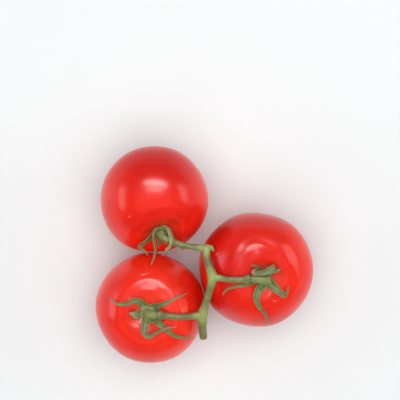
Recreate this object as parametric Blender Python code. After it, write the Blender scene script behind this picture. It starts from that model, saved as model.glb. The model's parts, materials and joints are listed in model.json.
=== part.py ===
"""A truss of three ripe tomatoes, lying on a flat surface as picked.

The main stem runs up the middle, from its cut end to a scar at its tip, and gives off a side
stalk to each tomato. A side stalk ends in a swollen knuckle, where a ripe fruit snaps off. Past
the knuckle a short fruit stalk widens toward the hub that the sepals grow from, in the dimple
of the tomato.

Frame: metres, +Z up, the surface at Z 0 and the origin under the middle of the truss. +Y runs
along the main stem, from its cut end to its tip.
"""

import math

import bmesh
import bpy
from mathutils import Matrix, Vector
from mathutils.bvhtree import BVHTree

MM = 0.001
GAP = 0.3 * MM  # air between two pieces that touch
TOMATO_GAP = 0.3 * MM  # air between neighbouring tomatoes

# Each tomato leans its stem end by "lean" degrees toward the bearing "toward". Bearings count
# from +X toward +Y. Its knuckle lies off its hub by a reach, a bearing and a rise. "ribs" is how
# many soft ribs it has, and "rib_turn" turns them.
TOMATOES = {
    "left": {
        "radius": 29.6 * MM, "height": 54.0 * MM, "lean": 4, "toward": -110,
        "ribs": 5, "rib_turn": 20, "skin": (0.80, 0.035, 0.015, 1),
        "knuckle_reach": 6.4 * MM, "knuckle_bearing": -4, "knuckle_rise": 4.6 * MM,
    },
    "right": {
        "radius": 30.8 * MM, "height": 55.0 * MM, "lean": 14, "toward": -42,
        "ribs": 6, "rib_turn": 45, "skin": (0.82, 0.04, 0.02, 1),
        "knuckle_reach": 9.9 * MM, "knuckle_bearing": 178, "knuckle_rise": 5.2 * MM,
    },
    "top": {
        "radius": 29.0 * MM, "height": 53.5 * MM, "lean": 50, "toward": -76,
        "ribs": 5, "rib_turn": 0, "skin": (0.78, 0.03, 0.015, 1),
        "knuckle_reach": 8.3 * MM, "knuckle_bearing": -44, "knuckle_rise": 3.4 * MM,
    },
}
STEM_OVERHANG = 0.4 * MM  # how far the left tomato reaches past the line of the stem
RIGHT_BEARING = 20  # from the left tomato's middle to the right one's
TOP_BEARING = 88  # from the left tomato's middle to the top one's

FULLNESS = 2.2  # of a tomato's outline: 2 is an ellipse, and more is squarer
DIMPLE_DEPTH = 5.5 * MM
DIMPLE_WIDTH = 10.0 * MM
BLOSSOM_DEPTH = 0.8 * MM
BLOSSOM_WIDTH = 6.0 * MM
RIB_SHARE = 0.008  # how far the ribs stand out, as a share of the radius
GROOVE_DEPTH = 0.5 * MM  # of the grooves that run into the dimple between ribs
REST_FLAT = 0.35 * MM  # how far its weight flattens a tomato where it rests
TOMATO_SIDES = 36
TOMATO_RINGS = 22

STEM_AIR = 0.9 * MM  # least air between the stem and a tomato below it
STEM_SIDES = 12
# The main stem from its cut end: place across and along, height, and radius.
MAIN_STEM = [
    (-0.4 * MM, -15.3 * MM, 41.5 * MM, 2.0 * MM),
    (-0.9 * MM, -11.0 * MM, 43.5 * MM, 2.25 * MM),
    (-1.1 * MM, -6.5 * MM, 45.5 * MM, 2.45 * MM),
    (-1.1 * MM, -2.6 * MM, 47.0 * MM, 2.9 * MM),
    (0.0 * MM, 1.5 * MM, 48.5 * MM, 2.1 * MM),
    (1.2 * MM, 5.5 * MM, 50.0 * MM, 1.85 * MM),
    (2.7 * MM, 11.0 * MM, 52.0 * MM, 1.85 * MM),
    (3.9 * MM, 15.0 * MM, 53.0 * MM, 2.3 * MM),
    (4.2 * MM, 18.0 * MM, 53.0 * MM, 2.75 * MM),
    (2.6 * MM, 22.5 * MM, 51.0 * MM, 2.05 * MM),
    (1.2 * MM, 27.5 * MM, 48.5 * MM, 1.95 * MM),
    (1.1 * MM, 31.0 * MM, 47.0 * MM, 2.1 * MM),
    (1.3 * MM, 32.8 * MM, 46.3 * MM, 2.2 * MM),
]
NODES = {"left": 3, "right": 8, "top": 12}  # where each side stalk leaves the list above
# The scar past the last node, where the rest of the truss was cut away.
TIP_SCAR = [
    (1.2 * MM, 31.9 * MM, 46.3 * MM, 1.8 * MM),
    (2.6 * MM, 33.4 * MM, 46.2 * MM, 1.4 * MM),
    (4.1 * MM, 33.0 * MM, 45.7 * MM, 0.9 * MM),
    (4.8 * MM, 31.2 * MM, 45.2 * MM, 0.5 * MM),
]
STALK_BOW = {"left": -0.9 * MM, "right": -0.9 * MM, "top": -0.7 * MM}  # at mid length, along Y
STALK_RADIUS = 1.7 * MM
ROOT_RADIUS = 2.3 * MM  # where a side stalk leaves the main stem
KNUCKLE_RADIUS = 2.6 * MM
KNUCKLE_END_RADIUS = 2.1 * MM
STALK_SIDES = 10

FRUIT_STALK_RADIUS = 1.9 * MM
FRUIT_STALK_END_RADIUS = 2.3 * MM
HUB_RADIUS = 4.2 * MM
HUB_EDGE = 1.0 * MM  # thickness at its rim
HUB_THICKNESS = 1.9 * MM  # thickness in the middle
HUB_SIDES = 20

SEPAL_THICKNESS = 0.6 * MM
SEPAL_CUP = 0.28  # how far a sepal's edges turn up, as a share of its half width
SEPAL_TIP = 0.14  # width at the tip, as a share of the full width
SEPAL_STEPS = 3  # rings for each length of a sepal's route

# Each sepal: its full width, the bearing of its base on the hub, and the points it runs through.
# A point is a bearing, an angle outward from the hub's rim over the skin, and a height in mm
# above the skin.
SEPALS = {
    "left": [
        ("upper_left", 4.6 * MM, 120, [
            (122, 5, 0.8), (133, 10, 1.3), (150, 13, 1.2), (158, 17, 0.9), (162, 24, 1.2),
            (160, 31, 2.0), (157, 33, 3.0),
        ]),
        ("left", 4.6 * MM, -172, [(-175, 3, 1.8), (180, 7, 3.4), (176, 10, 3.2)]),
        ("lower_left", 5.0 * MM, -104, [
            (-103, 4, 0.7), (-101, 10, 1.0), (-88, 14, 1.6), (-58, 12, 2.4), (-34, 15, 2.8),
            (-24, 22, 3.2),
        ]),
        ("lower_right", 4.2 * MM, -42, [
            (-40, 6, 0.8), (-40, 15, 0.9), (-40, 26, 0.9), (-36, 37, 1.3), (-32, 47, 1.9),
            (-29, 50, 2.8),
        ]),
        ("upper_right", 4.2 * MM, 48, [
            (36, 6, 0.7), (30, 15, 0.8), (29, 25, 1.1), (27, 38, 2.0),
        ]),
    ],
    "right": [
        ("upper", 4.6 * MM, 60, [
            (58, 3, 2.2), (56, 7, 4.2), (59, 8, 5.6), (82, 5, 6.8), (126, 5, 7.4),
            (150, 9, 7.2), (146, 11, 6.2), (135, 9, 5.6),
        ]),
        ("behind", 3.6 * MM, 122, [(124, 4, 0.9), (130, 9, 1.2), (138, 12, 1.4)]),
        ("lower_right", 5.2 * MM, -46, [
            (-45, 6, 0.8), (-43, 13, 0.9), (-41, 17, 1.6), (-32, 15, 2.8), (-14, 13, 4.0),
        ]),
        ("lower", 4.8 * MM, -120, [
            (-124, 6, 0.7), (-118, 12, 0.8), (-108, 17, 0.8), (-97, 22, 0.8), (-88, 29, 1.1),
            (-85, 37, 1.8), (-91, 39, 2.8),
        ]),
        ("under_stalk", 3.6 * MM, -177, [
            (-170, 5, 0.5), (-166, 12, 0.5), (-167, 20, 0.6), (-166, 30, 1.2), (-161, 36, 2.0),
            (-159, 37, 3.0),
        ]),
    ],
    "top": [
        ("left", 4.4 * MM, -168, [
            (-166, 5, 2.0), (-163, 11, 3.2), (-160, 16, 4.4), (-152, 15, 5.4),
            (-145, 13, 6.8), (-138, 13, 8.8),
        ]),
        ("middle", 4.6 * MM, 136, [
            (140, 4, 2.0), (162, 5, 5.0), (-168, 5, 8.2), (-146, 7, 10.2), (-131, 11, 12.4),
            (-128, 14, 13.6),
        ]),
        ("right", 4.4 * MM, 58, [
            (56, 4, 2.4), (52, 6, 6.8), (22, 4, 12.3), (-48, 1, 14.9), (-90, 3, 14.6),
            (-104, 7, 13.2),
        ]),
        ("lower", 4.0 * MM, -98, [(-98, 4, 1.8), (-101, 6, 3.8), (-108, 7, 6.0)]),
        ("under_stalk", 4.0 * MM, -28, [
            (-30, 4, 1.6), (-36, 10, 3.4), (-37, 15, 5.4), (-34, 16, 7.6),
        ]),
    ],
}

STEM_GREEN = (0.21, 0.30, 0.06, 1)
STALK_GREEN = (0.17, 0.19, 0.05, 1)
SEPAL_GREEN = (0.15, 0.24, 0.06, 1)
MERGE_DISTANCE = 0.0001 * MM


def material(name, colour, roughness):
    made = bpy.data.materials.new(name)
    made.use_nodes = True
    shader = made.node_tree.nodes["Principled BSDF"]
    shader.inputs["Base Color"].default_value = colour
    shader.inputs["Roughness"].default_value = roughness
    made.diffuse_color = colour
    return made


def heading(bearing):
    return Vector((math.cos(math.radians(bearing)), math.sin(math.radians(bearing)), 0))


def outline(tomato, polar):
    """Distance from the axis and height above the middle, before the ribs."""
    aside = max(math.sin(polar), 0) ** (2 / FULLNESS)
    across = tomato["radius"] * aside
    above = tomato["height"] / 2 * math.copysign(abs(math.cos(polar)) ** (2 / FULLNESS), math.cos(polar))
    if above > 0:
        above -= DIMPLE_DEPTH * math.exp(-((across / DIMPLE_WIDTH) ** 2))
    else:
        above += BLOSSOM_DEPTH * math.exp(-((across / BLOSSOM_WIDTH) ** 2))
    return across, above


def local_skin(tomato, bearing, polar, lift=0.0):
    """A point on the skin, or "lift" off it, about the tomato's own middle and axis."""
    angle = math.radians(max(polar, 0.5))
    across, above = outline(tomato, angle)
    next_across, next_above = outline(tomato, angle + 0.002)
    slope = Vector((next_across - across, next_above - above)).normalized()
    rib = math.cos(tomato["ribs"] * math.radians(bearing - tomato["rib_turn"]))
    across *= 1 + RIB_SHARE * rib * math.sin(angle)
    if polar < 90:
        shoulder = (across / tomato["radius"] - 0.3) / 0.22
        above -= GROOVE_DEPTH * (1 - rib) / 2 * math.exp(-(shoulder**2))
    across -= slope.y * lift
    above += slope.x * lift
    return heading(bearing) * across + Vector((0, 0, above))


def skin(tomato, bearing, polar, lift=0.0):
    return tomato["centre"] + tomato["turn"] @ local_skin(tomato, bearing, polar, lift)


def on_axis(tomato, across, above, bearing):
    """A point at a distance from the axis and a height above the middle."""
    local = heading(bearing) * across + Vector((0, 0, above))
    return tomato["centre"] + tomato["turn"] @ local


def polar_at(tomato, across):
    return math.degrees(math.asin((across / tomato["radius"]) ** (FULLNESS / 2)))


def extent(tomato, direction):
    return max(point.dot(direction) for point in tomato["points"])


def turn_tomato(tomato):
    toward = math.radians(tomato["toward"])
    axis = Vector((-math.sin(toward), math.cos(toward), 0))
    tomato["turn"] = Matrix.Rotation(math.radians(tomato["lean"]), 3, axis)
    tomato["points"] = [
        tomato["turn"] @ local_skin(tomato, bearing, polar)
        for bearing in range(0, 360, 10)
        for polar in range(0, 181, 5)
    ]
    tomato["axis"] = tomato["turn"] @ Vector((0, 0, 1))
    tomato["rest"] = extent(tomato, Vector((0, 0, -1))) - REST_FLAT


def place_beside(tomato, neighbour, bearing):
    """Stand a tomato against its neighbour, in the direction of the bearing."""
    toward = heading(bearing)
    distance = extent(neighbour, toward) + extent(tomato, -toward) + TOMATO_GAP
    tomato["centre"] = neighbour["centre"] + toward * distance
    tomato["centre"].z = tomato["rest"]


def build_rings(name, rings, made_of):
    """A closed piece through a row of rings, with a middle point at each end."""
    mesh = bmesh.new()
    rows = [[mesh.verts.new(point) for point in ring] for ring in rings]
    for row, after in zip(rows, rows[1:]):
        for index in range(len(row)):
            beside = (index + 1) % len(row)
            mesh.faces.new((row[index], row[beside], after[beside], after[index]))
    for row in (rows[0], rows[-1]):
        middle = mesh.verts.new(sum((vert.co for vert in row), Vector()) / len(row))
        for index in range(len(row)):
            mesh.faces.new((row[index], row[(index + 1) % len(row)], middle))
    bmesh.ops.remove_doubles(mesh, verts=mesh.verts, dist=MERGE_DISTANCE)
    bmesh.ops.recalc_face_normals(mesh, faces=mesh.faces)
    for face in mesh.faces:
        face.smooth = True
    data = bpy.data.meshes.new(name)
    mesh.to_mesh(data)
    mesh.free()
    data.materials.append(made_of)
    piece = bpy.data.objects.new(name, data)
    bpy.context.scene.collection.objects.link(piece)
    return piece


def curve_through(points, steps):
    """A smooth run through the points, which may be vectors of any length."""
    run = []
    for index in range(len(points) - 1):
        before = points[max(index - 1, 0)]
        start = points[index]
        end = points[index + 1]
        after = points[min(index + 2, len(points) - 1)]
        for step in range(steps):
            t = step / steps
            pull_start = (end - before) / 2 * (t**3 - 2 * t**2 + t)
            pull_end = (after - start) / 2 * (t**3 - t**2)
            between = start * (2 * t**3 - 3 * t**2 + 1) + end * (3 * t**2 - 2 * t**3)
            run.append(between + pull_start + pull_end)
    run.append(points[-1])
    return run


def directions(centres):
    last = len(centres) - 1
    return [
        (centres[min(index + 1, last)] - centres[max(index - 1, 0)]).normalized()
        for index in range(len(centres))
    ]


def build_tube(name, centres, radii, sides, made_of, first=None, final=None):
    """A round tube. "first" and "final" set which way its two ends face."""
    along = directions(centres)
    along[0] = first or along[0]
    along[-1] = final or along[-1]
    side = along[0].orthogonal().normalized()
    rings = []
    for centre, forward, radius in zip(centres, along, radii):
        side = (side - forward * side.dot(forward)).normalized()
        up = forward.cross(side)
        ring = []
        for index in range(sides):
            angle = 2 * math.pi * index / sides
            ring.append(centre + (side * math.cos(angle) + up * math.sin(angle)) * radius)
        rings.append(ring)
    return build_rings(name, rings, made_of)


def build_tomato(name, tomato, made_of):
    rings = []
    for row in range(1, TOMATO_RINGS):
        polar = 180 * (row / TOMATO_RINGS) ** 1.3
        ring = []
        for side in range(TOMATO_SIDES):
            point = skin(tomato, 360 * side / TOMATO_SIDES, polar)
            point.z = max(point.z, 0)
            ring.append(point)
        rings.append(ring)
    return build_rings(name, rings, made_of)


def build_hub(name, tomato, made_of):
    """The disc in the dimple. Its underside follows the skin."""
    base = outline(tomato, 0.01)[1] + GAP
    rings = []
    profile = [(0.35, 0), (0.7, 0), (0.94, 0), (1.0, HUB_EDGE / 2), (0.94, HUB_EDGE)]
    for share, height in profile:
        across = HUB_RADIUS * share
        above = outline(tomato, math.radians(polar_at(tomato, across)))[1] + GAP + height
        rings.append((across, above))
    rings.append((FRUIT_STALK_END_RADIUS * 1.3, base + HUB_THICKNESS * 0.9))
    rings.append((FRUIT_STALK_END_RADIUS, base + HUB_THICKNESS))
    tomato["hub_top"] = on_axis(tomato, 0, base + HUB_THICKNESS, 0)
    turns = [360 * side / HUB_SIDES for side in range(HUB_SIDES)]
    points = [[on_axis(tomato, across, above, turn) for turn in turns] for across, above in rings]
    return build_rings(name, points, made_of)


def rest_height(trees, across, along, radius):
    """Height of the middle of a ball that sits on the tomatoes at a place, or 0 beside them."""
    reach = radius + STEM_AIR
    height = 0.0
    for share in (0, 0.5, 0.9):
        for bearing in range(0, 360, 45):
            offset = heading(bearing) * (reach * share)
            start = Vector((across + offset.x, along + offset.y, 1))
            hit = trees.ray_cast(start, Vector((0, 0, -1)))[0]
            if hit:
                height = max(height, hit.z + reach * math.sqrt(1 - share**2))
    return height


def raised(trees, centre, radius):
    return Vector((centre.x, centre.y, max(centre.z, rest_height(trees, centre.x, centre.y, radius))))


def build_stem_run(name, points, trees, made_of):
    """A tube through points of place, height and radius, held clear of the tomatoes."""
    run = curve_through([Vector(point) for point in points], 2)
    radii = [point[3] for point in run]
    centres = [raised(trees, point.to_3d(), point[3]) for point in run]
    return build_tube(name, centres, radii, STEM_SIDES, made_of)


def join_pieces(body, extra):
    """Make one closed piece of two that run into each other."""
    union = body.modifiers.new("union", "BOOLEAN")
    union.operation = "UNION"
    union.solver = "EXACT"
    union.object = extra
    view = bpy.context.evaluated_depsgraph_get()
    joined = bpy.data.meshes.new_from_object(body.evaluated_get(view))
    body.modifiers.remove(union)
    body.data = joined
    bpy.data.objects.remove(extra, do_unlink=True)


def find_knuckle(tomato, trees):
    place = tomato["hub_top"] + heading(tomato["knuckle_bearing"]) * tomato["knuckle_reach"]
    place.z += tomato["knuckle_rise"]
    return raised(trees, place, KNUCKLE_RADIUS)


def build_side_stalk(name, tomato, root, bow, trees, made_of):
    """The stalk from the main stem to the knuckle. Its end face looks at the hub."""
    knuckle = find_knuckle(tomato, trees)
    facing = (tomato["hub_top"] + tomato["axis"] * tomato["knuckle_rise"] - knuckle).normalized()
    tip = knuckle + facing * 1.5 * MM
    straight = tip - root
    shares = [0, 0.1, 0.22, 0.36, 0.5, 0.64, 0.76, 0.84, 0.9, 0.95]
    spread = [
        ROOT_RADIUS, STALK_RADIUS * 1.16, STALK_RADIUS * 1.03, STALK_RADIUS, STALK_RADIUS,
        STALK_RADIUS, STALK_RADIUS, STALK_RADIUS * 1.08, KNUCKLE_RADIUS * 0.86, KNUCKLE_RADIUS,
    ]
    centres = []
    for share, radius in zip(shares, spread):
        centre = root + straight * share
        centre.y += bow * math.sin(math.pi * share)
        centres.append(raised(trees, centre, radius))
    centres.append(tip)
    spread.append(KNUCKLE_END_RADIUS)
    tomato["knuckle_tip"] = tip
    tomato["knuckle_facing"] = facing
    return build_tube(name, centres, spread, STALK_SIDES, made_of, final=facing)


def build_fruit_stalk(name, tomato, made_of):
    """The short stalk from the knuckle, bending down to stand square on the hub."""
    start = tomato["knuckle_tip"] + tomato["knuckle_facing"] * GAP
    end = tomato["hub_top"] + tomato["axis"] * GAP
    length = (end - start).length
    pull_start = start + tomato["knuckle_facing"] * length * 0.45
    pull_end = end + tomato["axis"] * length * 0.5
    steps = 8
    centres = []
    radii = []
    for step in range(steps + 1):
        t = step / steps
        s = 1 - t
        centres.append(start * s**3 + pull_start * 3 * s**2 * t + pull_end * 3 * s * t**2 + end * t**3)
        radii.append(FRUIT_STALK_RADIUS + (FRUIT_STALK_END_RADIUS - FRUIT_STALK_RADIUS) * t**2)
    return build_tube(name, centres, radii, STALK_SIDES, made_of, tomato["knuckle_facing"], -tomato["axis"])


def sepal_run(tomato, bearing, route):
    """Points along a sepal and the skin's outward direction at each."""
    base = polar_at(tomato, HUB_RADIUS + 2 * GAP)
    flat = []
    for turn, beyond, lift in [(bearing, 0, 0.3)] + route:
        aside = heading(turn) * (base + beyond)
        flat.append(Vector((aside.x, aside.y, lift * MM)))
    centres = []
    outward = []
    for point in curve_through(flat, SEPAL_STEPS):
        turn = math.degrees(math.atan2(point.y, point.x))
        polar = math.hypot(point.x, point.y)
        lift = max(point.z, GAP)
        centres.append(skin(tomato, turn, polar, lift))
        above = skin(tomato, turn, polar, lift + MM)
        outward.append((above - centres[-1]).normalized())
    return centres, outward


def build_sepal(name, tomato, width, bearing, route, made_of):
    """A cupped green strip that narrows to a dry tip."""
    centres, outward = sepal_run(tomato, bearing, route)
    along = directions(centres)
    aside = tomato["turn"] @ heading(bearing)
    along[0] = (aside - outward[0] * aside.dot(outward[0])).normalized()
    side = outward[0].cross(along[0])
    last = len(centres) - 1
    rings = []
    for index, (centre, forward, out) in enumerate(zip(centres, along, outward)):
        side = (side - forward * side.dot(forward)).normalized()
        flat_side = out.cross(forward)
        if flat_side.dot(side) < 0:
            flat_side = -flat_side
        side = (side + flat_side * 0.4).normalized()
        side = (side - forward * side.dot(forward)).normalized()
        up = forward.cross(side)
        share = index / last
        half = width / 2 * (SEPAL_TIP + (1 - SEPAL_TIP) * (1 - share) ** 0.9)
        thick = SEPAL_THICKNESS * (1 - 0.4 * share)
        edge = up * (SEPAL_CUP * half)
        thin = up * (thick * 0.45)
        rings.append([
            centre - side * half + edge,
            centre,
            centre + side * half + edge,
            centre + side * half + edge + thin,
            centre + up * thick,
            centre - side * half + edge + thin,
        ])
    return build_rings(name, rings, made_of)


def centre_on_origin(pieces):
    """Move everything so that the origin is under the middle of the whole truss."""
    points = [vert.co for piece in pieces for vert in piece.data.vertices]
    middle_x = (min(point.x for point in points) + max(point.x for point in points)) / 2
    middle_y = (min(point.y for point in points) + max(point.y for point in points)) / 2
    for piece in pieces:
        piece.data.transform(Matrix.Translation((-middle_x, -middle_y, 0)))


for old in list(bpy.data.objects):
    bpy.data.objects.remove(old, do_unlink=True)

bpy.context.scene.unit_settings.system = "METRIC"
stem_material = material("fresh green stem", STEM_GREEN, 0.6)
stalk_material = material("olive fruit stalk", STALK_GREEN, 0.65)
sepal_material = material("green sepal", SEPAL_GREEN, 0.65)

for tomato in TOMATOES.values():
    turn_tomato(tomato)
left = TOMATOES["left"]
left["centre"] = Vector((STEM_OVERHANG - left["radius"], 0, left["rest"]))
place_beside(TOMATOES["right"], left, RIGHT_BEARING)
place_beside(TOMATOES["top"], left, TOP_BEARING)

pieces = []
skins = bmesh.new()
for name, tomato in TOMATOES.items():
    skin_material = material("ripe skin " + name, tomato["skin"], 0.22)
    fruit = build_tomato("tomato_" + name, tomato, skin_material)
    skins.from_mesh(fruit.data)
    pieces.append(fruit)
    pieces.append(build_hub("hub_" + name, tomato, sepal_material))
trees = BVHTree.FromBMesh(skins)
skins.free()

main_stem = build_stem_run("main_stem", MAIN_STEM, trees, stem_material)
join_pieces(main_stem, build_stem_run("tip_scar", TIP_SCAR, trees, stem_material))
for name, tomato in TOMATOES.items():
    node = MAIN_STEM[NODES[name]]
    root = raised(trees, Vector(node[:3]), node[3])
    stalk = build_side_stalk("side_stalk", tomato, root, STALK_BOW[name], trees, stem_material)
    join_pieces(main_stem, stalk)
    pieces.append(build_fruit_stalk("fruit_stalk_" + name, tomato, stalk_material))
pieces.append(main_stem)

for name, sepals in SEPALS.items():
    for part, width, bearing, route in sepals:
        pieces.append(
            build_sepal(
                "sepal_" + name + "_" + part, TOMATOES[name], width, bearing, route, sepal_material
            )
        )

centre_on_origin(pieces)
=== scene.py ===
import json
import math

import bmesh
import bpy
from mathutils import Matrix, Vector, noise

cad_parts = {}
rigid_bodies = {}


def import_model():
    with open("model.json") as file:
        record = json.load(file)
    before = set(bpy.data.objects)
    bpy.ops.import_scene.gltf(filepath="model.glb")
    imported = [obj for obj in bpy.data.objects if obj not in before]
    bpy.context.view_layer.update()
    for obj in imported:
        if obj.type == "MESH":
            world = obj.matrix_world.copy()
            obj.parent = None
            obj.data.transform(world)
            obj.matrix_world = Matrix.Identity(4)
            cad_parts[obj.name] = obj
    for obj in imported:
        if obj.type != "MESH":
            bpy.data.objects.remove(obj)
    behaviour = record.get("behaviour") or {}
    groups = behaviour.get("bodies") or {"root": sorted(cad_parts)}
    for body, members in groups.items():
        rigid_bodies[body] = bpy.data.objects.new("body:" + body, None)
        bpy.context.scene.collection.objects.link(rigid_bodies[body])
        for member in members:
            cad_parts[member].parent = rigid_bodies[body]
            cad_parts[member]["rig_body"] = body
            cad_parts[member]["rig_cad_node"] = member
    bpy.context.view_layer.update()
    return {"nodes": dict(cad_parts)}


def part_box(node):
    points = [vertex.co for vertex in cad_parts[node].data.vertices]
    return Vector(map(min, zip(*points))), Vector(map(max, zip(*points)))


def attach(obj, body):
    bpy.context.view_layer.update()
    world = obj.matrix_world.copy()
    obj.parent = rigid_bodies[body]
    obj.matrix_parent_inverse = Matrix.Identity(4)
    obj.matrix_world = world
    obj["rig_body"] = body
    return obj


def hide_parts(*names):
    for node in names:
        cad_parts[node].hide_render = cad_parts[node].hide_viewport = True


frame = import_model()
nodes = frame["nodes"]
mm = 0.001
print("stage: frame loaded")

# camera: straight down, with the truss low and left of the middle of the view
cameraSet = {
    "aimX": -2.3 * mm,
    "aimY": 29.3 * mm,
    "middleHeight": 28 * mm,
    "distance": 900 * mm,
    "viewWidth": 216 * mm,
    "sensor": 36.0,
}


def makeCamera(s):
    place = (s["aimX"], s["aimY"], s["middleHeight"] + s["distance"])
    bpy.ops.object.camera_add(location=place, rotation=(0, 0, 0))
    camera = bpy.context.object
    camera.name = "lookDown"
    camera.data.sensor_width = s["sensor"]
    camera.data.lens = s["sensor"] * s["distance"] / s["viewWidth"]
    camera.data.clip_start = 0.01
    camera.data.clip_end = 20
    bpy.context.scene.camera = camera


makeCamera(cameraSet)
bpy.context.scene.view_settings.view_transform = "Standard"

# light
lightSet = {
    "skyTop": 0.09,
    "skyLow": 0.29,
    # name: place, aim, width, height, watts, and what it reaches
    "boxes": {
        "fill": ((0.05, -0.15, 1.5), (0, 0, 0.03), 2.0, 2.0, 33.0, "surfaces"),
        "farGlint": ((0.05, 0.50, 0.80), (0, 0, 0.03), 0.75, 0.18, 9.0, "gloss"),
        "highGlint": ((0.02, 0.23, 0.88), (0, 0, 0.03), 0.50, 0.08, 2.4, "gloss"),
        "leftBox": ((-0.75, 0.05, 0.28), (0, 0, 0.03), 0.6, 0.25, 1.6, "both"),
        "rightBox": ((0.75, 0.12, 0.34), (0, 0, 0.03), 0.6, 0.25, 1.6, "both"),
    },
}


def makeLights(s):
    world = bpy.data.worlds.new("softStudio")
    bpy.context.scene.world = world
    world.use_nodes = True
    tree = world.node_tree
    sky = tree.nodes["Background"]
    direction = tree.nodes.new("ShaderNodeTexCoord").outputs["Generated"]
    split = tree.nodes.new("ShaderNodeSeparateXYZ")
    tree.links.new(direction, split.inputs["Vector"])
    ramp = tree.nodes.new("ShaderNodeValToRGB")
    tree.links.new(split.outputs["Z"], ramp.inputs["Fac"])
    for mark, (place, tone) in zip(ramp.color_ramp.elements, ((0.15, s["skyLow"]), (0.75, s["skyTop"]))):
        mark.position = place
        mark.color = (tone, tone, tone, 1)
    tree.links.new(ramp.outputs["Color"], sky.inputs["Color"])
    for name, (place, aim, width, height, watts, reach) in s["boxes"].items():
        bpy.ops.object.light_add(type="AREA", location=place)
        lamp = bpy.context.object
        lamp.name = name
        lamp.data.shape = "RECTANGLE"
        lamp.data.size = width
        lamp.data.size_y = height
        lamp.data.energy = watts
        lamp.visible_glossy = reach != "surfaces"
        lamp.visible_diffuse = reach != "gloss"
        lamp.rotation_euler = (Vector(aim) - Vector(place)).to_track_quat("-Z", "Y").to_euler()


makeLights(lightSet)

# floor
floorSet = {"size": 3.0, "colour": (0.72, 0.735, 0.74, 1), "roughness": 0.6}


def makeFloor(s):
    bpy.ops.mesh.primitive_plane_add(size=s["size"], location=(0, 0, 0))
    floor = bpy.context.object
    floor.name = "floor"
    finish = bpy.data.materials.new("paleFloor")
    finish.use_nodes = True
    shader = finish.node_tree.nodes["Principled BSDF"]
    shader.inputs["Base Color"].default_value = s["colour"]
    shader.inputs["Roughness"].default_value = s["roughness"]
    floor.data.materials.append(finish)


makeFloor(floorSet)
print("stage: camera, light and floor")


# helpers for pieces grown from the frame's own shapes
def selectOnly(piece):
    bpy.ops.object.select_all(action="DESELECT")
    piece.select_set(True)
    bpy.context.view_layer.objects.active = piece


def applyModifier(piece, kind, **settings):
    modifier = piece.modifiers.new(kind.lower(), kind)
    for key, value in settings.items():
        setattr(modifier, key, value)
    selectOnly(piece)
    bpy.ops.object.modifier_apply(modifier=modifier.name)


def copyOfNode(nodeName, pieceName):
    selectOnly(nodes[nodeName])
    bpy.ops.object.duplicate()
    piece = bpy.context.object
    piece.name = pieceName
    piece.parent = None
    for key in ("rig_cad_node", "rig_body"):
        if key in piece:
            del piece[key]
    piece.data.materials.clear()
    bpy.ops.object.mode_set(mode="EDIT")
    bpy.ops.mesh.select_all(action="SELECT")
    bpy.ops.mesh.remove_doubles(threshold=0.001 * mm)
    bpy.ops.mesh.tris_convert_to_quads(face_threshold=3.0, shape_threshold=3.0)
    bpy.ops.mesh.mark_sharp(clear=True)
    bpy.ops.mesh.normals_make_consistent(inside=False)
    bpy.ops.object.mode_set(mode="OBJECT")
    bpy.ops.mesh.customdata_custom_splitnormals_clear()
    return piece


def finishPiece(piece, nodeName, slotName, *finishes):
    for finish in finishes:
        piece.data.materials.append(finish)
    selectOnly(piece)
    bpy.ops.object.shade_smooth()
    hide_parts(nodeName)
    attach(piece, "root")


def middleOf(nodeName):
    low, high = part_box(nodeName)
    return (low + high) / 2


def pushOut(piece, shiftOf):
    facings = [vert.normal.copy() for vert in piece.data.vertices]
    for vert, facing in zip(piece.data.vertices, facings):
        vert.co += facing * shiftOf(vert.co)


def soften(value):
    value = min(max(value, 0.0), 1.0)
    return value * value * (3 - 2 * value)


# helpers for finishes
def newFinish(name):
    finish = bpy.data.materials.new(name)
    finish.use_nodes = True
    tree = finish.node_tree
    return finish, tree, tree.nodes["Principled BSDF"]


def addNode(tree, kind, **inputs):
    node = tree.nodes.new("ShaderNode" + kind)
    for key, value in inputs.items():
        if hasattr(value, "links"):
            tree.links.new(value, node.inputs[key.replace("_", " ")])
        else:
            node.inputs[key.replace("_", " ")].default_value = value
    return node


def objectPlace(tree):
    return addNode(tree, "TexCoord").outputs["Object"]


def noiseField(tree, place, scale, detail=2.0):
    return addNode(tree, "TexNoise", Vector=place, Scale=scale, Detail=detail).outputs["Fac"]


def rampOf(tree, source, *stops):
    node = addNode(tree, "ValToRGB", Fac=source)
    marks = node.color_ramp.elements
    while len(marks) < len(stops):
        marks.new(0.5)
    for mark, (place, tone) in zip(marks, stops):
        mark.position = place
        mark.color = tone if isinstance(tone, tuple) else (tone, tone, tone, 1)
    return node.outputs["Color"]


def mixTone(tree, share, first, second):
    node = tree.nodes.new("ShaderNodeMix")
    node.data_type = "RGBA"
    for socket, value in ((node.inputs[0], share), (node.inputs[6], first), (node.inputs[7], second)):
        if hasattr(value, "links"):
            tree.links.new(value, socket)
        else:
            socket.default_value = value
    return node.outputs[2]


def sums(tree, kind, first, second=0.0, third=None):
    node = tree.nodes.new("ShaderNodeMath")
    node.operation = kind
    for socket, value in zip(node.inputs, (first, second, third)):
        if value is None:
            continue
        if hasattr(value, "links"):
            tree.links.new(value, socket)
        else:
            socket.default_value = value
    return node.outputs[0]


def vectorSums(tree, kind, *values):
    node = tree.nodes.new("ShaderNodeVectorMath")
    node.operation = kind
    for socket, value in zip(node.inputs, values):
        if hasattr(value, "links"):
            tree.links.new(value, socket)
        else:
            socket.default_value = value
    return node.outputs["Value" if kind in ("DISTANCE", "DOT_PRODUCT", "LENGTH") else "Vector"]


def reliefOn(tree, shader, height, strength, distance):
    node = addNode(tree, "Bump", Height=height, Strength=strength, Distance=distance)
    tree.links.new(node.outputs["Normal"], shader.inputs["Normal"])


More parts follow.
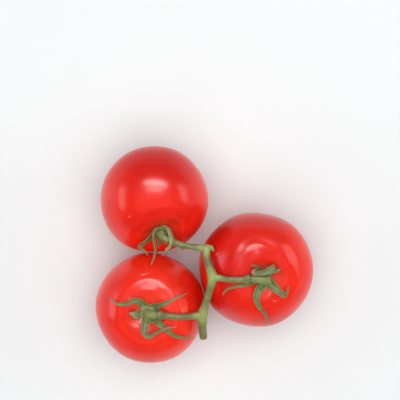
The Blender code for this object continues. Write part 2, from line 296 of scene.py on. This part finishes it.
# tomatoes
tomatoSet = {
    "skins": {
        "left": {"deep": (0.68, 0.009, 0.003, 1), "bright": (0.90, 0.027, 0.007, 1), "seed": 1.3},
        "right": {"deep": (0.62, 0.006, 0.003, 1), "bright": (0.86, 0.021, 0.006, 1), "seed": 4.1},
        "top": {"deep": (0.62, 0.006, 0.003, 1), "bright": (0.84, 0.019, 0.006, 1), "seed": 7.7},
    },
    "lumpSize": 0.021,
    "lumpHeight": 0.55 * mm,
    "rippleSize": 8 * mm,  # soft ripples over the shoulders, round the stem end
    "rippleHeight": 0.22 * mm,
    "rings": (10.9 * mm, 6.2 * mm, 0.19 * mm),  # first soft ring round the stem end, step and height
    "rippleReach": 22 * mm,
    "ringWander": 3.2 * mm,
    "ringSpan": (6.5 * mm, 24 * mm),  # the rings fade in and out between these distances
    "settle": 4 * mm,  # the skin keeps its place towards the surface that it rests on
    # marks on the skin: tomato, place across and along, turn, half length and half width
    "marks": [
        ("left", (-31.6, -9.9), 12, 2.8, 0.28), ("left", (-28.4, -12.4), -30, 1.2, 0.22),
        ("right", (6.4, 0.6), 35, 1.9, 0.30), ("right", (7.9, -0.4), -60, 0.9, 0.25),
        ("top", (-39.5, 20.5), 40, 1.3, 0.22), ("right", (37.0, -24.0), -20, 1.6, 0.20),
    ],
    "markTone": (0.66, 0.30, 0.20, 1),
    # half sizes in mm and tone of each layer of the blossom scar
    "scar": [((1.9, 1.7, 1.8), (0.24, 0.12, 0.045, 1)), ((0.9, 0.8, 0.9), (0.05, 0.025, 0.012, 1))],
    "blush": (12 * mm, (0.62, 0.045, 0.012, 1)),  # reach and tone round the stem end
    "patchScale": 34.0,
    "grainScale": 900.0,
    "grainShare": 0.10,
    "grainTone": (0.88, 0.05, 0.02, 1),
    "speckScale": 330.0,
    "speckSize": 0.09,
    "speckRarity": 0.72,
    "speckShare": 0.12,
    "speckTone": (0.88, 0.32, 0.16, 1),
    "poreScale": 300.0,
    "flesh": (0.12, (1.0, 0.2, 0.1), 0.003),  # share, reach by colour and depth of the light in the skin
    "roughness": 0.29,
    "lustre": 1.38,
    "coat": 0.10,
    "coatRoughness": 0.12,
    "swell": 0.27 * mm,  # makes up for what the smoothing takes off
}


def skinFinish(name, tones, s, spots):
    finish, tree, shader = newFinish("tomatoSkin" + name)
    place = objectPlace(tree)
    moved = addNode(tree, "Mapping", Vector=place, Location=(tones["seed"], 0.3, 0.7)).outputs["Vector"]
    patches = rampOf(tree, noiseField(tree, moved, s["patchScale"], 3.0), (0.35, 0.0), (0.68, 1.0))
    tone = mixTone(tree, patches, tones["deep"], tones["bright"])
    grain = rampOf(tree, noiseField(tree, moved, s["grainScale"]), (0.42, 0.0), (0.62, 1.0))
    tone = mixTone(tree, sums(tree, "MULTIPLY", grain, s["grainShare"]), tone, s["grainTone"])
    cells = tree.nodes.new("ShaderNodeTexVoronoi")
    tree.links.new(moved, cells.inputs["Vector"])
    cells.inputs["Scale"].default_value = s["speckScale"]
    dot = sums(tree, "LESS_THAN", cells.outputs["Distance"], s["speckSize"])
    chance = addNode(tree, "SeparateColor", Color=cells.outputs["Color"]).outputs[0]
    picked = sums(tree, "GREATER_THAN", chance, s["speckRarity"])
    specks = sums(tree, "MULTIPLY", sums(tree, "MULTIPLY", dot, picked), s["speckShare"])
    tone = mixTone(tree, specks, tone, s["speckTone"])
    wander = addNode(tree, "TexNoise", Vector=place, Scale=s["grainScale"], Detail=2.0).outputs["Color"]
    for centre, turn, sizes, bend, tint, strength in spots:
        local = tree.nodes.new("ShaderNodeMapping")
        local.vector_type = "TEXTURE"
        tree.links.new(place, local.inputs["Vector"])
        local.inputs["Location"].default_value = centre
        local.inputs["Rotation"].default_value = (0, 0, turn)
        local.inputs["Scale"].default_value = sizes
        bent = vectorSums(tree, "MULTIPLY_ADD", wander, (bend, bend, bend), local.outputs["Vector"])
        away = vectorSums(tree, "DISTANCE", bent, (bend / 2, bend / 2, bend / 2))
        tone = mixTone(tree, rampOf(tree, away, (0.55, strength), (1.0, 0.0)), tone, tint)
    tree.links.new(tone, shader.inputs["Base Color"])
    shader.inputs["Roughness"].default_value = s["roughness"]
    shader.inputs["IOR"].default_value = s["lustre"]
    shader.inputs["Coat Weight"].default_value = s["coat"]
    shader.inputs["Coat Roughness"].default_value = s["coatRoughness"]
    share, reach, depth = s["flesh"]
    shader.inputs["Subsurface Weight"].default_value = share
    shader.inputs["Subsurface Radius"].default_value = reach
    shader.inputs["Subsurface Scale"].default_value = depth
    reliefOn(tree, shader, noiseField(tree, moved, s["poreScale"], 1.0), 0.03, 0.1 * mm)
    return finish


def skinHeight(piece, x, y):
    near = 1.2 * mm
    points = (vert.co for vert in piece.data.vertices)
    return max(spot.z for spot in points if abs(spot.x - x) < near and abs(spot.y - y) < near)


def shoulderShift(spot, hub, tones, s):
    gap = (spot - hub).length / s["rippleReach"]
    ripple = noise.noise(spot / s["rippleSize"] + Vector((0, tones["seed"], 0))) * s["rippleHeight"]
    ripple *= soften(1.6 - gap) * soften((gap - 0.25) / 0.3)
    first, step, height = s["rings"]
    inner, outer = s["ringSpan"]
    side = (spot - hub).normalized() * 1.7 + Vector((tones["seed"], 0, 5))
    away = (spot - hub).length + noise.noise(side) * s["ringWander"]
    ring = math.cos(math.tau * (away - first) / step) * height * (0.85 + 0.6 * noise.noise(side * 1.9))
    return ripple + ring * soften((away - inner) / (3 * mm)) * soften((outer - away) / (8 * mm))


def growTomato(name, tones, s):
    nodeName = "tomato_" + name
    piece = copyOfNode(nodeName, "tomato" + name.capitalize())
    applyModifier(piece, "SUBSURF", levels=2, render_levels=2)
    applyModifier(piece, "SMOOTH", factor=0.5, iterations=12)
    centre = middleOf(nodeName)
    hub = middleOf("hub_" + name)
    axis = (hub - centre).normalized()
    for vert in piece.data.vertices:
        outward = (vert.co - centre).normalized()
        lump = noise.noise(vert.co / s["lumpSize"] + Vector((tones["seed"], 0, 0))) * s["lumpHeight"]
        shift = lump + shoulderShift(vert.co, hub, tones, s) + s["swell"]
        vert.co += outward * (shift * soften(vert.co.z / s["settle"]))
        vert.co.z = max(vert.co.z, 0.0)
    skinPoints = (vert.co for vert in piece.data.vertices)
    blossomEnd = min(skinPoints, key=lambda spot: (spot - centre).normalized().dot(axis))
    spots = [(blossomEnd.copy(), 0.4, Vector(sizes) * mm, 0.9, tone, 0.9) for sizes, tone in s["scar"]]
    reach, tone = s["blush"]
    spots.append((hub, 0.0, (reach, reach, reach), 0.15, tone, 0.5))
    for tomato, (x, y), turn, length, width in s["marks"]:
        if tomato == name:
            spot = Vector((x * mm, y * mm, skinHeight(piece, x * mm, y * mm)))
            sizes = (length * mm, width * mm, 2.5 * mm)
            spots.append((spot, math.radians(turn), sizes, 1.1, s["markTone"], 0.75))
    finishPiece(piece, nodeName, "ripe_skin", skinFinish(name.capitalize(), tones, s, spots))


for name, tones in tomatoSet["skins"].items():
    growTomato(name, tones, tomatoSet)
print("stage: tomatoes")

# main stem
stemSet = {
    "voxel": 0.26 * mm,
    "furrow": 0.10 * mm,
    "bumps": [(1.6 * mm, 0.10 * mm), (4.5 * mm, 0.22 * mm)],  # size and height
    "cutBack": 0.22 * mm,  # the cut end is trimmed flat
    "green": (0.19, 0.21, 0.055, 1),
    "young": (0.29, 0.36, 0.095, 1),
    "dull": (0.12, 0.125, 0.042, 1),
    "dry": (0.20, 0.13, 0.06, 1),
    "cut": (0.42, 0.36, 0.17, 1),
    "rind": (0.22, 0.22, 0.07, 1),
    "patchScale": 260.0,
    "streakScale": (1400, 220, 1400),
    "youngReach": 7 * mm,  # a knot is paler out to here
    "cutReach": 2.6 * mm,
    "cutFray": 0.5 * mm,
    "bruiseReach": 3 * mm,
    "grainScale": 1500.0,
    "roughness": 0.55,
    "downSpread": 0.35,
}
downSet = {"share": 0.2, "tint": (0.85, 0.92, 0.7, 1)}  # short down on stems and sepals


def wearDown(shader, roughness, spread, s):
    shader.inputs["Roughness"].default_value = roughness
    shader.inputs["Sheen Weight"].default_value = s["share"]
    shader.inputs["Sheen Roughness"].default_value = spread
    shader.inputs["Sheen Tint"].default_value = s["tint"]


def stemFinish(name, s, nodeSpots, cut=None):
    finish, tree, shader = newFinish(name)
    place = objectPlace(tree)
    patches = rampOf(tree, noiseField(tree, place, s["patchScale"], 3.0), (0.35, 0.0), (0.65, 1.0))
    tone = mixTone(tree, patches, s["dull"], s["green"])
    near = 0.0
    for spot in nodeSpots:
        gap = vectorSums(tree, "DISTANCE", place, spot)
        glow = rampOf(tree, sums(tree, "MULTIPLY", gap, 1 / s["youngReach"]), (0.25, 1.0), (1.0, 0.0))
        near = sums(tree, "MAXIMUM", near, glow)
    tone = mixTone(tree, near, tone, s["young"])
    drawnOut = addNode(tree, "Mapping", Vector=place, Scale=s["streakScale"]).outputs["Vector"]
    streaks = noiseField(tree, drawnOut, 1.0, 2.0)
    tone = mixTone(tree, rampOf(tree, streaks, (0.45, 0.0), (0.7, 0.35)), tone, s["dull"])
    if cut:
        centre, facing = cut
        gap = vectorSums(tree, "SUBTRACT", place, centre)
        outward = vectorSums(tree, "DOT_PRODUCT", gap, facing)
        size = vectorSums(tree, "LENGTH", gap)
        frayed = sums(tree, "MULTIPLY_ADD", noiseField(tree, place, 1100.0), s["cutFray"], size)
        across = sums(tree, "MULTIPLY", frayed, 1 / s["cutReach"])
        stops = (0.30, s["cut"]), (0.62, s["rind"]), (0.8, s["cut"]), (0.95, s["dry"])
        layers = rampOf(tree, across, *stops)
        browning = sums(tree, "MULTIPLY_ADD", outward, 1 / s["bruiseReach"], 1.0)
        bruise = rampOf(tree, browning, (0.35, 0.0), (0.9, 0.55))
        tone = mixTone(tree, bruise, tone, s["dry"])
        onCut = sums(tree, "GREATER_THAN", outward, -s["cutBack"] - 0.03 * mm)
        tone = mixTone(tree, onCut, tone, layers)
    tree.links.new(tone, shader.inputs["Base Color"])
    wearDown(shader, s["roughness"], s["downSpread"], downSet)
    reliefOn(tree, shader, noiseField(tree, place, s["grainScale"], 3.0), 0.35, 0.2 * mm)
    return finish


nodeSpots = [
    (-1.1 * mm, -31.5 * mm, 47.5 * mm),
    (4.2 * mm, -10.9 * mm, 53.5 * mm),
    (1.3 * mm, 3.8 * mm, 46.5 * mm),
]
stemMesh = nodes["main_stem"].data
lowEnd = min(vert.co.y for vert in stemMesh.vertices)
cutRing = [vert.co for vert in stemMesh.vertices if vert.co.y < lowEnd + 0.9 * mm]
cutCentre = sum(cutRing, Vector()) / len(cutRing)
cutFacing = Vector((0.12, -0.92, -0.37)).normalized()
greenStem = stemFinish("greenStem", stemSet, nodeSpots, (cutCentre, cutFacing))


def growStem(s):
    piece = copyOfNode("main_stem", "mainStem")
    applyModifier(piece, "REMESH", mode="VOXEL", voxel_size=s["voxel"])
    applyModifier(piece, "SMOOTH", factor=0.5, iterations=5)

    def shiftOf(spot):
        furrow = noise.noise(Vector((spot.x * 1100, spot.y * 110, spot.z * 1100))) * s["furrow"]
        return furrow + sum(noise.noise(spot / size) * height for size, height in s["bumps"])

    pushOut(piece, shiftOf)
    for vert in piece.data.vertices:
        past = (vert.co - cutCentre).dot(cutFacing) + s["cutBack"]
        if past > 0:
            vert.co -= cutFacing * past
    finishPiece(piece, "main_stem", "green_stem", greenStem)


growStem(stemSet)
print("stage: main stem")

# calyxes: hubs, fruit stalks and sepals
sepalSet = {
    "upper": (0.145, 0.17, 0.045, 1),
    "pale": (0.27, 0.29, 0.115, 1),
    "dry": (0.26, 0.15, 0.07, 1),
    "thickness": 0.38 * mm,
    "rows": 44,
    "columns": 10,
    # how far the base runs in over the hub, its rise there, and its share of the width
    "tuck": [(0.7 * mm, 0.50 * mm, 0.95), (1.7 * mm, 0.98 * mm, 0.78), (3.1 * mm, 1.40 * mm, 0.40)],
    "fullness": 1.14,
    "taper": 0.50,
    # sepals with a fullness, taper and unrest of their own
    "shapes": {"sepal_left_left": (1.5, 0.1, 0.25), "sepal_right_upper": (1.5, 0.25, 0.6)},
    "turn": 0.5,
    "cup": 0.34,
    "ribDepth": 0.12 * mm,
    "frill": 0.30,
    "corners": 6,  # of a sepal's cross section in the frame
    "patchScale": 420.0,
    "grainScale": 1300.0,
    "ribTone": (0.26, 0.32, 0.12, 1),
    # pale edges: partly the whitish down's own tone, partly painted sheen of the light that the down
    # catches along the edges
    "rimTone": (0.27, 0.28, 0.12, 1),
    "dryFrom": 0.85,
    "roughness": 0.6,
    "downSpread": 0.4,
}
stalkSet = {
    "corners": 10,  # of a fruit stalk's cross section in the frame
    "around": 28,
    "lengthwise": 26,
    "closeUp": 0.60 * mm,
    "ridge": 0.07,
    "flare": 0.22,
    "hubLumps": 0.16 * mm,
    "hubFree": 3.4 * mm,  # the hub is notched between sepals outside this distance
    "hubNotch": 0.34,
    "hubRise": 0.35 * mm,
}


def leafFinish(name, tone, s):
    finish, tree, shader = newFinish(name)
    place = objectPlace(tree)
    patches = rampOf(tree, noiseField(tree, place, s["patchScale"], 3.0), (0.35, 0.0), (0.68, 1.0))
    deeper = tuple(part * 0.62 for part in tone[:3]) + (1,)
    colour = mixTone(tree, patches, deeper, tone)
    along = tree.nodes.new("ShaderNodeAttribute")
    along.attribute_name = "alongLeaf"
    across = tree.nodes.new("ShaderNodeAttribute")
    across.attribute_name = "acrossLeaf"
    aside = sums(tree, "ABSOLUTE", across.outputs["Fac"])
    rib = rampOf(tree, aside, (0.0, 1.0), (0.22, 0.0))
    colour = mixTone(tree, sums(tree, "MULTIPLY", rib, 0.45), colour, s["ribTone"])
    # painted sheen: paler towards the edges, partly the down's own tone and partly light caught in the
    # down
    paleDownAndSheen = rampOf(tree, aside, (0.78, 0.0), (1.0, 0.6))
    colour = mixTone(tree, paleDownAndSheen, colour, s["rimTone"])
    withering = sums(tree, "MULTIPLY_ADD", noiseField(tree, place, 600.0, 2.0), 0.3, along.outputs["Fac"])
    dryness = rampOf(tree, withering, (s["dryFrom"], 0.0), (1.0, 0.8))
    colour = mixTone(tree, dryness, colour, s["dry"])
    tree.links.new(colour, shader.inputs["Base Color"])
    wearDown(shader, s["roughness"], s["downSpread"], downSet)
    reliefOn(tree, shader, noiseField(tree, place, s["grainScale"], 3.0), 0.4, 0.2 * mm)
    return finish


leafUpper = leafFinish("sepalUpper", sepalSet["upper"], sepalSet)
leafUnder = leafFinish("sepalUnder", sepalSet["pale"], sepalSet)


def inOrder(verts):
    return sorted(verts, key=lambda vert: vert.index)  # a set has no order of its own


def flatEnds(mesh, count):
    ends, done = [], set()
    for face in mesh.faces:
        if face in done:
            continue
        group, front = {face}, [face]
        while front:
            for edge in front.pop().edges:
                for other in edge.link_faces:
                    if other not in group and other.normal.dot(face.normal) > 0.99999:
                        group.add(other)
                        front.append(other)
        done |= group
        corners = {vert for member in group for vert in member.verts}
        if len(corners) == count:
            ends.append(inOrder(corners))
    return ends


def ringsOf(nodeName, count, hubName):
    mesh = bmesh.new()
    mesh.from_mesh(nodes[nodeName].data)
    bmesh.ops.remove_doubles(mesh, verts=mesh.verts, dist=0.001 * mm)
    mesh.normal_update()
    mesh.verts.index_update()
    runs = []
    for ring in flatEnds(mesh, count):
        rings, seen = [], set()
        while ring:
            rings.append([vert.co.copy() for vert in ring])
            seen.update(ring)
            ring = inOrder({edge.other_vert(vert) for vert in ring for edge in vert.link_edges} - seen)
        if all(len(ring) == count for ring in rings):
            runs.append(rings)
    mesh.free()
    hubPoints = [vert.co for vert in nodes[hubName].data.vertices]

    def hubGap(rings):
        return min((centreOf(rings[0]) - point).length for point in hubPoints)

    return min(runs, key=hubGap)


def centreOf(points):
    return sum(points, Vector()) / len(points)


def directionsAlong(centres):
    last = len(centres) - 1
    return [(centres[min(i + 1, last)] - centres[max(i - 1, 0)]).normalized() for i in range(last + 1)]


def smoothAt(values, share):
    place = min(max(share, 0.0), 1.0) * (len(values) - 1)
    index = min(int(place), len(values) - 2)
    t = place - index
    before, start, end = values[max(index - 1, 0)], values[index], values[index + 1]
    after = values[min(index + 2, len(values) - 1)]
    pullStart, pullEnd = (end - before) * 0.5, (after - start) * 0.5
    return (
        start * (2 * t**3 - 3 * t**2 + 1) + end * (3 * t**2 - 2 * t**3)
        + pullStart * (t**3 - 2 * t**2 + t) + pullEnd * (t**3 - t**2)
    )


def stripFrames(nodeName, tomatoName, s):
    rings = ringsOf(nodeName, s["corners"], "hub_" + nodeName.split("_")[1])
    centres = [centreOf(ring) for ring in rings]
    forwards = directionsAlong(centres)
    sides, halves = [], []
    outward = centres[0] - middleOf(tomatoName)
    for ring, forward in zip(rings, forwards):
        pair = max(((a, b) for a in ring for b in ring), key=lambda ends: (ends[0] - ends[1]).length)
        side = (pair[0] - pair[1]) / 2
        halves.append(side.length)
        side = (side - forward * side.dot(forward)).normalized()
        if sides:
            side = side if side.dot(sides[-1]) > 0 else -side
        elif forward.cross(side).dot(outward) < 0:
            side = -side
        sides.append(side)
    ups = [forward.cross(side) for forward, side in zip(forwards, sides)]
    foot, ahead, across, up, half = centres[0], forwards[0], sides[0], ups[0], halves[0]
    for inward, rise, share in s["tuck"]:
        centres.insert(0, foot - ahead * inward + up * rise)
        sides.insert(0, across)
        ups.insert(0, up)
        halves.insert(0, half * share)
    return centres, sides, ups, halves


def growSepal(nodeName, s):
    kind = nodeName.split("_")[1]
    centres, sides, ups, halves = stripFrames(nodeName, "tomato_" + kind, s)
    fullness, taper, unrest = s["shapes"].get(nodeName, (s["fullness"], s["taper"], 1.0))
    seed = Vector((sum(ord(letter) for letter in nodeName) * 0.37, 0, 0))
    bpy.ops.object.select_all(action="DESELECT")
    bpy.ops.mesh.primitive_grid_add(x_subdivisions=s["rows"], y_subdivisions=s["columns"], size=1)
    piece = bpy.context.object
    piece.name = "".join(word.capitalize() for word in nodeName.split("_"))
    alongLeaf = piece.data.attributes.new("alongLeaf", "FLOAT", "POINT")
    acrossLeaf = piece.data.attributes.new("acrossLeaf", "FLOAT", "POINT")
    for vert in piece.data.vertices:
        u, v = vert.co.x + 0.5, vert.co.y * 2
        alongLeaf.data[vert.index].value = u
        acrossLeaf.data[vert.index].value = v
        half = smoothAt(halves, u) * fullness * (1 - taper * u)
        turn = noise.noise(seed + Vector((u * 3.1, 0, 0))) * s["turn"] * u * unrest
        side, up = smoothAt(sides, u).normalized(), smoothAt(ups, u).normalized()
        side, up = side * math.cos(turn) + up * math.sin(turn), up * math.cos(turn) - side * math.sin(turn)
        frill = noise.noise(seed + Vector((u * 9, v * 1.2, 3.0)))
        cup = (v * v - 0.35) * s["cup"] * half
        rib = -s["ribDepth"] * math.exp(-((v / 0.16) ** 2)) * (1 - u * 0.7)
        wave = frill * s["frill"] * half * abs(v) * unrest
        vert.co = smoothAt(centres, u) + side * (v * half * (1 + 0.10 * frill)) + up * (cup + rib + wave)
    piece.data.materials.append(leafUpper)
    piece.data.materials.append(leafUnder)
    shell = {"thickness": s["thickness"], "offset": 0.0, "material_offset": 1, "use_even_offset": False}
    applyModifier(piece, "SOLIDIFY", **shell)
    applyModifier(piece, "SUBSURF", levels=1, render_levels=1)
    finishPiece(piece, nodeName, "sepal_green")


def growFruitStalk(nodeName, s):
    kind = nodeName.split("_")[2]
    rings = ringsOf(nodeName, s["corners"], "hub_" + kind)
    centres = [centreOf(ring) for ring in rings]
    radii = [(ring[0] - centre).length for ring, centre in zip(rings, centres)]
    forwards = directionsAlong(centres)
    centres[0] -= forwards[0] * s["closeUp"]
    centres[-1] += forwards[-1] * s["closeUp"]
    side = forwards[0].orthogonal().normalized()
    sides = []
    for forward in forwards:
        side = (side - forward * side.dot(forward)).normalized()
        sides.append(side)
    bpy.ops.object.select_all(action="DESELECT")
    bpy.ops.mesh.primitive_uv_sphere_add(segments=s["around"], ring_count=s["lengthwise"], radius=1)
    piece = bpy.context.object
    piece.name = "fruitStalk" + kind.capitalize()
    for vert in piece.data.vertices:
        polar = math.acos(max(-1, min(1, -vert.co.z)))
        around = math.atan2(vert.co.y, vert.co.x)
        u = polar / math.pi
        side = smoothAt(sides, u).normalized()
        forward = (smoothAt(centres, u + 0.02) - smoothAt(centres, u - 0.02)).normalized()
        up = forward.cross(side).normalized()
        endShare = min(u, 1 - u) * s["lengthwise"]
        unevenness = 0.05 * noise.noise(Vector((around, u * 9, 2)))
        ridge = 1 + s["ridge"] * math.cos(around * 5 + u * 2) + unevenness
        flare = 1 + s["flare"] * soften((0.34 - u) / 0.34)
        radius = smoothAt(radii, u) * ridge * flare * math.sqrt(min(1.0, endShare / 1.3))
        vert.co = smoothAt(centres, u) + (side * math.cos(around) + up * math.sin(around)) * radius
    bpy.ops.object.mode_set(mode="EDIT")
    bpy.ops.mesh.select_all(action="SELECT")
    bpy.ops.mesh.normals_make_consistent(inside=False)
    bpy.ops.object.mode_set(mode="OBJECT")
    finishPiece(piece, nodeName, "olive_stalk", oliveStalk)


def growHub(nodeName, s):
    kind = nodeName.split("_")[1]
    piece = copyOfNode(nodeName, "hub" + kind.capitalize())
    applyModifier(piece, "SUBSURF", levels=3, render_levels=3)
    centre = middleOf(nodeName)
    axis = (centre - middleOf("tomato_" + kind)).normalized()
    arms = []
    for sepal in sorted(nodes):
        if sepal.startswith("sepal_" + kind):
            reaches = (vert.co - centre for vert in nodes[sepal].data.vertices)
            arm = min(reaches, key=lambda reach: reach.length)
            arms.append((arm - axis * arm.dot(axis)).normalized())
    for vert in piece.data.vertices:
        away = vert.co - centre
        flat = away - axis * away.dot(axis)
        closest = max(arm.dot(flat.normalized()) for arm in arms) if flat.length > 0.01 * mm else 1.0
        between = soften((0.97 - closest) / 0.35) * soften(flat.length / s["hubFree"])
        vert.co -= flat * (between * s["hubNotch"])
        if away.dot(axis) > 0:
            vert.co += axis * (soften(1 - flat.length / s["hubFree"]) * s["hubRise"])
    pushOut(piece, lambda spot: noise.noise(spot / (1.1 * mm)) * s["hubLumps"])
    finishPiece(piece, nodeName, "sepal_green", oliveStalk)


oliveSet = dict(stemSet, green=(0.23, 0.29, 0.07, 1), dull=(0.15, 0.17, 0.05, 1))
oliveStalk = stemFinish("oliveStalk", oliveSet, [])
for name in sorted(nodes):
    if name.startswith("sepal"):
        growSepal(name, sepalSet)
    elif name.startswith("fruit_stalk"):
        growFruitStalk(name, stalkSet)
    elif name.startswith("hub"):
        growHub(name, stalkSet)
print("stage: calyxes")
